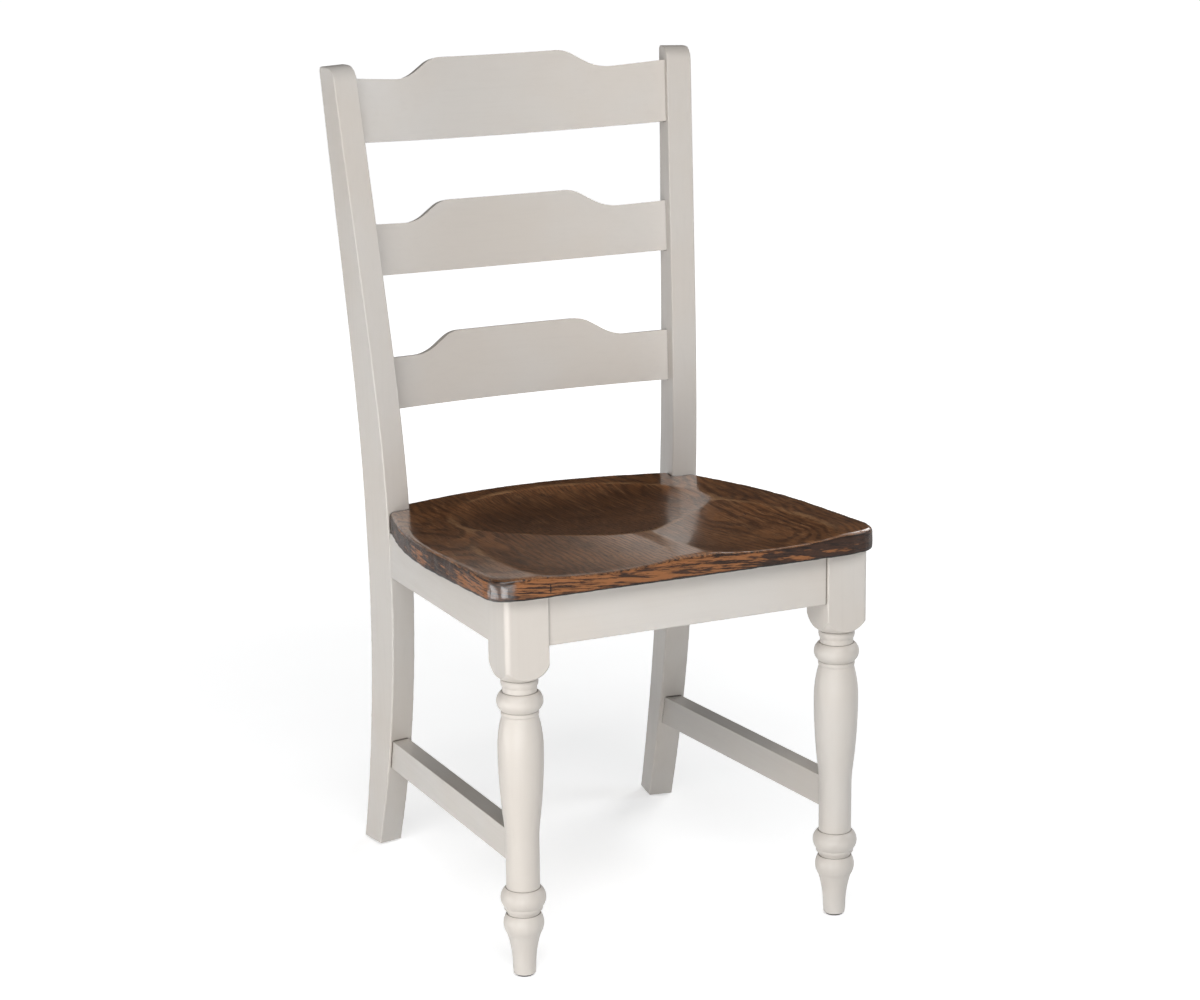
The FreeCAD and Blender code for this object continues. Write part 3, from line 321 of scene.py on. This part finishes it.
def rim_colour(s, slanted, rub):
    """Streaks along the board's rim, and bare orange wood where hands have rubbed it."""
    lines = s.noise(s.stretched(slanted, (24.0, 24.0, 430.0)), 1.0, 5.0, 0.7, 0.5)
    broad = s.noise(s.stretched(slanted, (24.0, 24.0, 190.0)), 1.0, 3.0, 0.6)
    bare = s.ramp(s.maths("ADD", broad, s.product(rub, 0.26)), 0.62, 0.72)
    rim = s.mix(s.ramp(lines, 0.36, 0.66), RIM_DARK, RIM_BROWN)
    rim = s.mix(bare, rim, RUBBED)
    return s.mix(s.ramp(lines, 0.50, 0.57, 0.0, 0.92), rim, RIM_STREAK)


def dents_and_check(s, slanted, axes, tilt):
    dents = []
    for x, y, wide, long in MARKS:
        scale = (1.0 / (wide * MM), 1.0 / (long * MM), 0.0)
        away = s.distance(s.place, (x * MM, y * MM, 0.0), scale)
        dents.append(s.ramp(away, 0.55, 1.15, 1.0, 0.0))
    dent = s.product(s.greatest(*dents), s.ramp(tilt, 0.90, 0.97))
    x, z, wide, tall = CRACK
    centre = (x * MM, 0.0, (z + STREAK_SLANT * x) * MM)
    away = s.distance(slanted, centre, (1.0 / (wide * MM), 0.0, 1.0 / (tall * MM)))
    in_front = s.ramp(axes[Y], -0.20, -0.19, 1.0, 0.0)
    return s.greatest(dent, s.product(s.ramp(away, 0.7, 1.1, 1.0, 0.0), in_front))


def stained_wood():
    """Dark stain over figured boards, grain front to back, rubbed and scorched at the edges, with
    painted shade in the rear of the bowl and on the faces that turn down.
    """
    s = Shader("stained_wood")
    axes = s.node("ShaderNodeSeparateXYZ", {0: s.place}).outputs
    edge = s.attribute("edge")
    side = s.attribute("side")
    tilt = s.attribute("tilt")
    rub = s.attribute("rub")
    crest = s.attribute("crest")
    bowl = s.attribute("bowl")

    fibre = s.noise(s.stretched(s.place, (620.0, 12.0, 620.0)), 1.0, 3.0, 0.6)
    pores = s.noise(s.stretched(s.place, (900.0, 34.0, 900.0)), 1.0, 3.0, 0.6)
    streaks = s.noise(s.stretched(s.place, (120.0, 4.0, 120.0)), 1.0, 4.0, 0.6)
    blotches = s.noise(s.place, 16.0, 4.0, 0.6)
    ragged = s.noise(s.stretched(s.place, (210.0, 210.0, 420.0)), 1.0, 5.0, 0.75)

    colour = s.mix(s.ramp(blotches, 0.35, 0.68, 0.0, 0.55), STAIN, STAIN_DEEP_AND_SHADE)
    colour = s.mix(s.ramp(streaks, 0.46, 0.74, 0.0, 0.6), colour, STAIN_DEEP_AND_SHADE)
    colour = s.mix(s.product(growth_rings(s, axes), 0.60), colour, STAIN_DEEP_AND_SHADE)
    # Painted shade in the bowl, deepest where it is deep and towards the back
    colour = s.mix(s.product(bowl, 0.62), colour, STAIN_DEEP_AND_SHADE)
    colour = s.mix(s.ramp(fibre, 0.52, 0.68, 0.0, 0.45), colour, STAIN_PALE)
    worn = s.product(s.ramp(crest, 0.45, 1.0, 0.0, 0.55), s.ramp(blotches, 0.42, 0.62))
    colour = s.mix(worn, colour, STAIN_PALE)
    colour = s.mix(s.ramp(pores, 0.54, 0.68, 0.0, 0.8), colour, PORE)

    risen = s.maths("ADD", axes[Z], s.product(axes[X], STREAK_SLANT))
    slanted = s.node("ShaderNodeCombineXYZ", {0: axes[X], 1: axes[Y], 2: risen}).outputs[0]
    colour = s.mix(s.ramp(side, 0.35, 0.75), colour, rim_colour(s, slanted, rub))

    # Black speckled scorch under the top edge, painted shade on the faces that turn down along the
    # bottom edge, a pale worn line on the top edge
    downward_shade = s.ramp(s.maths("ADD", tilt, s.product(ragged, 0.25)), 0.40, 0.56, 1.0, 0.0)
    top = s.product(s.ramp(tilt, 0.58, 0.72), s.ramp(tilt, 0.90, 0.97, 1.0, 0.0))
    speckle = s.ramp(ragged, 0.50, 0.58)
    scorch = s.product(speckle, s.ramp(rub, 0.2, 0.8, 0.35, 1.0), top)
    colour = s.mix(s.greatest(downward_shade, scorch), colour, BLACKENED_AND_SHADE)
    lip = s.product(s.ramp(tilt, 0.86, 0.95), s.ramp(tilt, 0.980, 0.994, 1.0, 0.0))
    lip = s.product(lip, edge, s.ramp(ragged, 0.40, 0.54))
    colour = s.mix(s.product(lip, s.ramp(rub, 0.3, 1.0, 0.85, 0.35)), colour, WORN_PALE)

    away = s.distance(s.place, CORNER, (1.0, 1.0, 0.0))
    polish = s.product(s.ramp(away, CORNER_FULL, CORNER_END, 1.0, 0.0), side)
    colour = s.mix(s.product(polish, 0.75), colour, BLACKENED_AND_SHADE)

    dents = dents_and_check(s, slanted, axes, tilt)
    colour = s.mix(s.product(dents, 0.9), colour, BLACKENED_AND_SHADE)

    normal = s.bump(pores, 0.05 * MM)
    normal = s.bump(streaks, 0.20 * MM, normal)
    normal = s.bump(s.product(ragged, s.ramp(edge, 0.2, 0.9)), 0.9 * MM, normal)
    normal = s.bump(s.maths("SUBTRACT", 1.0, dents), 0.6 * MM, normal)
    rough = s.maths("ADD", s.ramp(pores, 0.3, 0.7, 0.28, 0.38), s.ramp(side, 0.2, 0.8, 0.0, 0.22))
    return s.surface(
        Base_Color=colour,
        Roughness=s.maths("SUBTRACT", rough, s.product(polish, 0.20)),
        Normal=normal,
        Specular_IOR_Level=s.ramp(side, 0.2, 0.9, 0.5, 0.2),
        Coat_Weight=s.greatest(s.ramp(side, 0.3, 0.9, 1.0, 0.12), polish),
        Coat_Roughness=0.17,
    )


SAWN_PALE = linear(196, 158, 112)
SAWN_BROWN = linear(158, 116, 74)
ZINC_DARK = linear(168, 166, 160)
ZINC_LIGHT = linear(196, 194, 186)
GLIDE = linear(44, 41, 38)
GLIDE_SCUFFED = linear(92, 88, 83)


def bare_wood():
    """Sawn pale hardwood of the hidden corner blocks."""
    s = Shader("bare_wood")
    grain = s.noise(s.stretched(s.place, (40.0, 210.0, 210.0)), 1.0, 4.0, 0.6)
    saw = s.noise(s.stretched(s.place, (500.0, 30.0, 30.0)), 1.0, 2.0)
    colour = s.mix(s.ramp(grain, 0.3, 0.7), SAWN_PALE, SAWN_BROWN)
    return s.surface(Base_Color=colour, Roughness=0.62, Normal=s.bump(saw, 0.15 * MM))


def screw_steel():
    """Zinc-plated steel."""
    s = Shader("screw_steel")
    turned = s.noise(s.stretched(s.place, (300.0, 300.0, 1500.0)), 1.0, 3.0)
    return s.surface(
        Base_Color=s.mix(turned, ZINC_DARK, ZINC_LIGHT),
        Metallic=1.0,
        Roughness=s.ramp(turned, 0.3, 0.7, 0.26, 0.44),
        Normal=s.bump(turned, 0.05 * MM),
    )


def glide_plastic():
    """Dark moulded plastic, scuffed by the floor."""
    s = Shader("glide_plastic")
    scuffs = s.noise(s.stretched(s.place, (220.0, 700.0, 220.0)), 1.0, 4.0, 0.7)
    return s.surface(
        Base_Color=s.mix(s.ramp(scuffs, 0.5, 0.75), GLIDE, GLIDE_SCUFFED),
        Roughness=s.ramp(scuffs, 0.4, 0.7, 0.45, 0.7),
        Normal=s.bump(scuffs, 0.08 * MM),
    )


# Which way the grain of each painted piece runs
GRAIN = {
    "front_leg_left": Z,
    "front_leg_right": Z,
    "rear_post_left": Z,
    "rear_post_right": Z,
    "slat_top": X,
    "slat_middle": X,
    "slat_bottom": X,
    "seat_rail_front": X,
    "seat_rail_rear": X,
    "seat_rail_left": Y,
    "seat_rail_right": Y,
    "side_stretcher_left": Y,
    "side_stretcher_right": Y,
}


def dress_pieces():
    """Give every solid but the seat its material."""
    paints = {axis: painted_wood(f"painted_wood_{'xyz'[axis]}", axis) for axis in (X, Y, Z)}
    rail_paint = painted_wood("painted_wood_rail", X, -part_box("front_leg_left")[1].x)
    wood = bare_wood()
    steel = screw_steel()
    plastic = glide_plastic()
    for name, node in nodes.items():
        if name == "seat_rail_front":
            material = rail_paint
        elif name in GRAIN:
            material = paints[GRAIN[name]]
        elif name.endswith("screws"):
            material = steel
        elif name.startswith("corner_block"):
            material = wood
        elif name.startswith("glide"):
            material = plastic
        else:
            continue
        node.data.materials.clear()
        node.data.materials.append(material)


SEAT_VOXEL = 2.3 * MM
SMOOTHING_PASSES = 4

# How far from the seat's flanks the wear of the edges reaches, and the two scales of its dents
EDGE_BAND = 9.0 * MM
BROAD_DENTS = 55.0
BROAD_DENT_DEPTH = 1.1 * MM
FINE_DENTS = 210.0
FINE_DENT_DEPTH = 0.6 * MM

# The front corners' wear: how far it reaches from each corner, left and right
CORNER_REACH = {-1: 28.0 * MM, 1: 44.0 * MM}
CORNER_BINS = 18
FLANK_START = -0.262
FLANK_END = -0.252
NOSE_WINDOW = 10.0 * MM

# The grid over the seat on which its hollows are read
GRID = 2.5 * MM
GRID_SPAN = 0.6
FULL_ROW = 100
BLUR_PASSES = 28
CREST_HEIGHT = 0.45 * MM
# How deep and how far back the bowl's painted shade reaches
BOWL_DEPTH = 9.0 * MM
BOWL_FRONT = -0.16
BOWL_MIDDLE = 0.04


def smoothstep(value, low, high):
    part = min(1.0, max(0.0, (value - low) / (high - low)))
    return part * part * (3.0 - 2.0 * part)


def bell(value, centre, width):
    """1 at the centre, falling off to both sides."""
    return math.exp(-(((value - centre) / width) ** 2))


def round_front_corner(places, side, reach):
    """Wear one front corner to a quarter ellipse that starts at the given reach from it."""
    out = max(side * p.x for p in places if FLANK_START + reach < p.y < FLANK_END + reach)
    nose = min(p.y for p in places if out - reach - NOSE_WINDOW < side * p.x < out - reach)
    centre = Vector((side * (out - reach), nose + reach, 0.0))
    rim = [0.0] * (CORNER_BINS + 1)
    polar = {}
    for index, place in enumerate(places):
        along, ahead = side * (place.x - centre.x), centre.y - place.y
        if along < 0.0 or ahead < 0.0:
            continue
        angle, distance = math.atan2(ahead, along), math.hypot(along, ahead)
        polar[index] = (angle, distance)
        nearest = round(angle / (math.pi / 2.0) * CORNER_BINS)
        for slot in range(max(0, nearest - 1), min(CORNER_BINS, nearest + 1) + 1):
            rim[slot] = max(rim[slot], distance)
    for index, (angle, distance) in polar.items():
        slot = angle / (math.pi / 2.0) * CORNER_BINS
        low = min(CORNER_BINS - 1, int(slot))
        old = rim[low] + (rim[low + 1] - rim[low]) * (slot - low)
        new = rim[0] * rim[-1] / math.hypot(rim[-1] * math.cos(angle), rim[0] * math.sin(angle))
        pull = (new / old - 1.0) * smoothstep(distance / old, 0.1, 0.9)
        places[index].x += (places[index].x - centre.x) * pull
        places[index].y += (places[index].y - centre.y) * pull


def blurred(grid, axis):
    return (numpy.roll(grid, 1, axis) + 2.0 * grid + numpy.roll(grid, -1, axis)) / 4.0


def hollows(places, normals):
    """How far each vertex of the top stands above its surroundings, and below the plane of the rim."""
    columns = int(GRID_SPAN / GRID)
    level = numpy.full((columns, columns), numpy.nan)
    cells = []
    for place, normal in zip(places, normals):
        cell = (int((place.x + GRID_SPAN / 2.0) / GRID), int((place.y + GRID_SPAN / 2.0) / GRID))
        cells.append(cell)
        if normal.z > 0.5:
            level[cell] = place.z
    rows = [row for row in range(columns) if numpy.isfinite(level[:, row]).sum() > FULL_ROW]
    slope, start = numpy.polyfit(rows, [numpy.nanmax(level[:, row]) for row in rows], 1)
    plane = start + slope * numpy.arange(columns)
    known = numpy.isfinite(level).astype(float)
    filled = numpy.nan_to_num(level - plane)
    for _ in range(BLUR_PASSES):
        for axis in (0, 1):
            known = blurred(known, axis)
            filled = blurred(filled, axis)
    around = filled / numpy.maximum(known, 1e-6)
    depths = [float(plane[cell[1]]) - place.z for place, cell in zip(places, cells)]
    crests = [-depth - float(around[cell]) for depth, cell in zip(depths, cells)]
    return crests, depths


# How much hands and knees have rubbed the edge: the front edge is all that lies ahead of FRONT_EDGE
FRONT_EDGE = -0.225
RUB_AT_RIGHT = 0.35


def rubbing(place):
    """Most rubbed at the front left, little at the right."""
    if place.y < FRONT_EDGE:
        along_front = 1.0 - 0.75 * smoothstep(place.x, -0.03, 0.10)
        return min(1.0, along_front + 0.45 * bell(place.x, 0.055, 0.035))
    if place.x < 0.0:
        along_left = 1.0 - 0.8 * smoothstep(place.y, -0.18, -0.13)
        return along_left + 0.3 * bell(place.y, -0.06, 0.04)
    return RUB_AT_RIGHT


def fine_copy(name, source):
    """A smooth copy of a solid, with vertices close enough together to be dented."""
    copy = placed(name, source.data.copy())
    remesh = copy.modifiers.new("fine", "REMESH")
    remesh.mode = "VOXEL"
    remesh.voxel_size = SEAT_VOXEL
    smooth = copy.modifiers.new("smooth", "SMOOTH")
    smooth.factor = 0.5
    smooth.iterations = SMOOTHING_PASSES
    graph = bpy.context.evaluated_depsgraph_get()
    mesh = bpy.data.meshes.new_from_object(copy.evaluated_get(graph))
    copy.modifiers.clear()
    copy.data = mesh
    for face in mesh.polygons:
        face.use_smooth = True
    return copy


def worn_seat():
    """The scooped seat with its edges worn, dented and unevenly rounded by hand."""
    seat = fine_copy("worn_seat", nodes["seat"])
    mesh = seat.data
    normals = [vertex.normal.copy() for vertex in mesh.vertices]
    places = [vertex.co.copy() for vertex in mesh.vertices]
    crests, depths = hollows(places, normals)
    for side, reach in CORNER_REACH.items():
        round_front_corner(places, side, reach)
    flanks = [place for place, normal in zip(places, normals) if abs(normal.z) < 0.45]
    tree = kdtree.KDTree(len(flanks))
    for index, place in enumerate(flanks):
        tree.insert(place, index)
    tree.balance()

    layers = {name: [] for name in ("edge", "side", "tilt", "rub", "crest", "bowl")}
    for index, (place, normal) in enumerate(zip(places, normals)):
        nearness = max(0.0, 1.0 - tree.find(place)[2] / EDGE_BAND)
        behind = smoothstep(place.y, BOWL_FRONT, BOWL_MIDDLE)
        layers["edge"].append(nearness)
        layers["side"].append(1.0 - smoothstep(normal.z, 0.35, 0.9))
        layers["tilt"].append((normal.z + 1.0) / 2.0)
        layers["rub"].append(rubbing(place))
        layers["crest"].append(smoothstep(crests[index], 0.0, CREST_HEIGHT) * (1.0 - nearness))
        # The bowl's painted shade, by depth and towards the back
        layers["bowl"].append(smoothstep(depths[index], 0.0, BOWL_DEPTH) * behind)
        dent = max(0.0, noise.noise(place * BROAD_DENTS)) * BROAD_DENT_DEPTH
        dent += max(0.0, noise.noise(place * FINE_DENTS)) * FINE_DENT_DEPTH
        mesh.vertices[index].co = place - normal * dent * nearness
    for name, values in layers.items():
        mesh.attributes.new(name, "FLOAT", "POINT").data.foreach_set("value", values)
    mesh.materials.clear()
    mesh.materials.append(stained_wood())
    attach(seat, "root")
    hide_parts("seat")


def sheet(name, corners, faces, material):
    """A piece of the studio, made of flat panels."""
    mesh = bpy.data.meshes.new(name)
    mesh.from_pydata(corners, [], faces)
    mesh.materials.append(material)
    return placed(name, mesh)


# The floor and the far wall of the studio, and how brightly they glow near the chair and away from it
FLOOR_HALF_WIDTH = 40.0
WALL_RADIUS = 36.0
WALL_HEIGHT = 7.0
WALL_PANELS = 48
GLOW_NEAR = 0.55
GLOW_FAR = 1.0
LIT_REACH = 0.5
UNLIT_REACH = 2.9
PAPER = (0.80, 0.80, 0.80, 1.0)
PAPER_PALE = (0.83, 0.83, 0.83, 1.0)


def studio_floor():
    """A white floor and a far white wall, which look white to the camera and in reflections."""
    s = Shader("studio_floor")
    rays = s.node("ShaderNodeLightPath").outputs
    seen = s.greatest(rays["Is Camera Ray"], rays["Is Glossy Ray"], rays["Is Transmission Ray"])
    tint = s.mix(s.noise(s.place, 90.0, 4.0), PAPER, PAPER_PALE)
    paper = s.node("ShaderNodeBsdfDiffuse", {"Color": tint}).outputs[0]
    away = s.vector_maths("LENGTH", s.place)["Value"]
    strength = s.ramp(away, LIT_REACH, UNLIT_REACH, GLOW_NEAR, GLOW_FAR)
    glow = s.node("ShaderNodeEmission", {"Strength": strength}).outputs[0]
    lit = s.node("ShaderNodeAddShader", {0: paper, 1: glow}).outputs[0]
    s.finish(s.node("ShaderNodeMixShader", {0: seen, 1: paper, 2: lit}).outputs[0])

    reach = FLOOR_HALF_WIDTH
    corners = [(-reach, -reach, 0.0), (reach, -reach, 0.0), (reach, reach, 0.0), (-reach, reach, 0.0)]
    faces = [(0, 1, 2, 3)]
    for step in range(WALL_PANELS):
        turn = 2.0 * math.pi * step / WALL_PANELS
        x, y = WALL_RADIUS * math.cos(turn), WALL_RADIUS * math.sin(turn)
        corners += [(x, y, 0.0), (x, y, WALL_HEIGHT)]
        here, after = 4 + 2 * step, 4 + 2 * ((step + 1) % WALL_PANELS)
        faces.append((here, after, after + 1, here + 1))
    floor = sheet("studio_floor", corners, faces, s.material)


# The flag keeps the white wall out of the seat's sheen
FLAG_AWAY = 4.6
FLAG_WIDTH = 5.0
FLAG_BOTTOM = 0.05
FLAG_TOP = 3.2
FLAG_HEADING = math.radians(28.0)
CLOTH = (0.020, 0.020, 0.021, 1.0)
CLOTH_PALE = (0.030, 0.029, 0.030, 1.0)


def black_flag():
    """A black cloth behind the chair, which the camera doesn't see."""
    s = Shader("black_flag")
    colour = s.mix(s.noise(s.place, 60.0, 3.0), CLOTH, CLOTH_PALE)
    s.finish(s.node("ShaderNodeBsdfDiffuse", {"Color": colour}).outputs[0])
    ahead = Vector((math.sin(FLAG_HEADING), math.cos(FLAG_HEADING), 0.0))
    across = Vector((ahead.y, -ahead.x, 0.0))
    corners = []
    for side, height in ((-0.5, FLAG_BOTTOM), (0.5, FLAG_BOTTOM), (0.5, FLAG_TOP), (-0.5, FLAG_TOP)):
        corners.append(ahead * FLAG_AWAY + across * FLAG_WIDTH * side + Vector((0.0, 0.0, height)))
    flag = sheet("black_flag", corners, [(0, 1, 2, 3)], s.material)
    flag.visible_camera = False


WHITE = (1.0, 1.0, 1.0)
COOL = (0.90, 0.95, 1.0)

# Soft lamps: the height they aim at, azimuth (0 in front, 90 at +X), elevation, distance,
# width, height, watts and colour
SOFTBOXES = {
    "key": (0.5, -45.0, 35.0, 3.2, 1.6, 1.6, 32.0, WHITE),
    "front": (0.5, -10.0, 45.0, 3.2, 1.6, 1.6, 36.0, WHITE),
    "low_front": (0.25, -13.5, 2.2, 2.57, 1.2, 0.6, 8.0, WHITE),
    "low_left": (0.5, -60.0, 8.0, 3.2, 1.6, 0.8, 3.0, WHITE),
    "bounce_front": (0.15, -40.0, 0.5, 1.77, 0.8, 0.3, 7.0, WHITE),
    "bounce_left": (0.10, -88.0, 0.5, 1.40, 1.0, 0.2, 4.0, WHITE),
    "rear_left": (0.5, -135.0, 25.0, 3.2, 1.6, 1.6, 5.0, WHITE),
    "rear_right": (0.6, 120.0, 28.0, 3.4, 1.6, 1.6, 36.0, WHITE),
    "rim": (0.9, 69.4, 11.9, 2.18, 0.9, 0.9, 10.0, COOL),
}
ROOM_GLOW = 0.035


def softbox(name, aim, azimuth, elevation, distance, width, height, watts, colour):
    """A rectangular lamp that faces the chair and isn't seen itself."""
    across, up = math.radians(azimuth), math.radians(elevation)
    data = bpy.data.lights.new(name, "AREA")
    data.shape = "RECTANGLE"
    data.size = width
    data.size_y = height
    data.energy = watts
    data.color = colour
    lamp = placed(name, data)
    lamp.visible_camera = False
    away = Vector((math.sin(across) * math.cos(up), -math.cos(across) * math.cos(up), math.sin(up)))
    lamp.location = Vector((0.0, 0.0, aim)) + away * distance
    lamp.rotation_euler = (-away).to_track_quat("-Z", "Y").to_euler()


def studio_room():
    """The dim room above the wall."""
    world = bpy.data.worlds.new("studio")
    world.use_nodes = True
    background = world.node_tree.nodes["Background"]
    background.inputs["Color"].default_value = (*WHITE, 1.0)
    background.inputs["Strength"].default_value = ROOM_GLOW
    bpy.context.scene.world = world


place_camera()
dress_pieces()
worn_seat()
studio_floor()
black_flag()
studio_room()
for lamp_name, settings in SOFTBOXES.items():
    softbox(lamp_name, *settings)
bpy.context.scene.view_settings.view_transform = "Standard"
